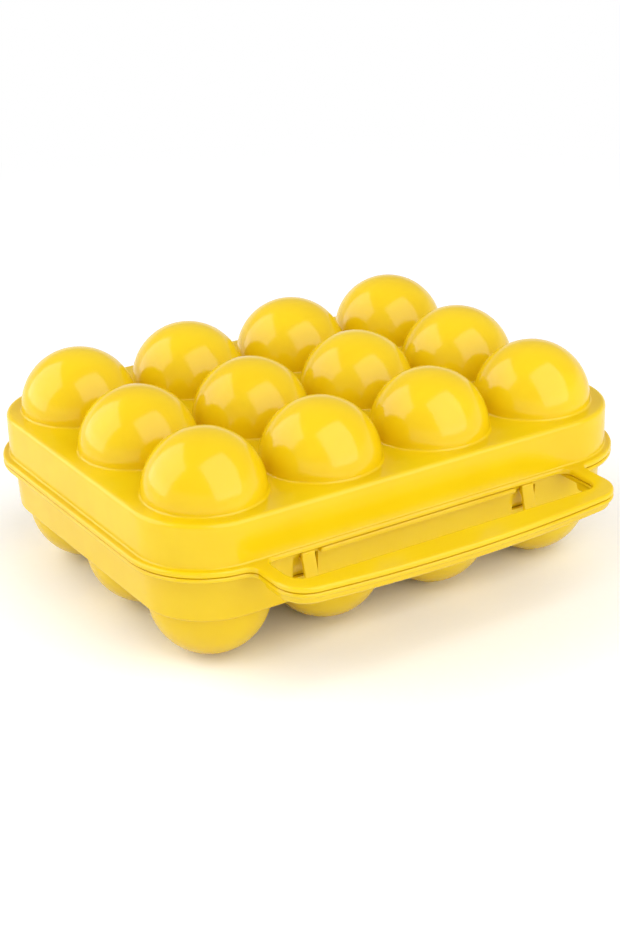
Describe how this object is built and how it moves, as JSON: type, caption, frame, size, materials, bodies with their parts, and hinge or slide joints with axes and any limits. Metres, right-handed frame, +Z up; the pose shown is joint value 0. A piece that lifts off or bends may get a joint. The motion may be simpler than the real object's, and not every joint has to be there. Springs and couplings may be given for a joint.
{
  "type": "egg carrier",
  "caption": "Hinged plastic carrier for hens' eggs: a tray of round cups under a lid of matching domes, with a two-plate carry handle and snap latches at the front",
  "frame": {"origin": "on the floor under the middle of the closed carrier's overall box", "axes": "+X along the row of four eggs, -Y towards the handle at the front, +Z up"},
  "size_m": [0.1994, 0.1888, 0.0823],
  "materials": {
    "lid_plastic": "glossy moulded polypropylene, warm yellow",
    "tray_plastic": "glossy moulded polypropylene, warm yellow"
  },
  "bodies": {
    "tray": {"tray_skirt": "tray_plastic", "tray_rim": "tray_plastic", "tray_slot_lip": "tray_plastic", "tray_cup_r1c1": "tray_plastic", "tray_cup_r1c2": "tray_plastic", "tray_cup_r1c3": "tray_plastic", "tray_cup_r1c4": "tray_plastic", "tray_cup_r2c1": "tray_plastic", "tray_cup_r2c2": "tray_plastic", "tray_cup_r2c3": "tray_plastic", "tray_cup_r2c4": "tray_plastic", "tray_cup_r3c1": "tray_plastic", "tray_cup_r3c2": "tray_plastic", "tray_cup_r3c3": "tray_plastic", "tray_cup_r3c4": "tray_plastic", "tray_hinge_ear_left_a": "tray_plastic", "tray_hinge_ear_left_b": "tray_plastic", "hinge_pin_left": "tray_plastic", "tray_hinge_ear_right_a": "tray_plastic", "tray_hinge_ear_right_b": "tray_plastic", "hinge_pin_right": "tray_plastic"},
    "lid": {"lid_skirt": "lid_plastic", "lid_rim": "lid_plastic", "lid_dome_r1c1": "lid_plastic", "lid_dome_r1c2": "lid_plastic", "lid_dome_r1c3": "lid_plastic", "lid_dome_r1c4": "lid_plastic", "lid_dome_r2c1": "lid_plastic", "lid_dome_r2c2": "lid_plastic", "lid_dome_r2c3": "lid_plastic", "lid_dome_r2c4": "lid_plastic", "lid_dome_r3c1": "lid_plastic", "lid_dome_r3c2": "lid_plastic", "lid_dome_r3c3": "lid_plastic", "lid_dome_r3c4": "lid_plastic", "lid_hinge_lug_left": "lid_plastic", "lid_hinge_lug_right": "lid_plastic"},
    "latch_left": {"latch_left": "lid_plastic"},
    "latch_right": {"latch_right": "lid_plastic"}
  },
  "joints": [
    {"name": "lid_hinge", "type": "hinge", "parent": "tray", "child": "lid", "pos_m": [0, 0.09125, 0.0417], "axis": [-1, 0, 0], "range_deg": [0, 180]},
    {"name": "latch_left_flex", "type": "hinge", "parent": "lid", "child": "latch_left", "pos_m": [-0.0465, -0.06255, 0.0408], "axis": [-1, 0, 0], "range_deg": [0, 24], "stiffness_Nm_per_rad": 0.05},
    {"name": "latch_right_flex", "type": "hinge", "parent": "lid", "child": "latch_right", "pos_m": [0.0465, -0.06255, 0.0408], "axis": [-1, 0, 0], "range_deg": [0, 24], "stiffness_Nm_per_rad": 0.05}
  ]
}
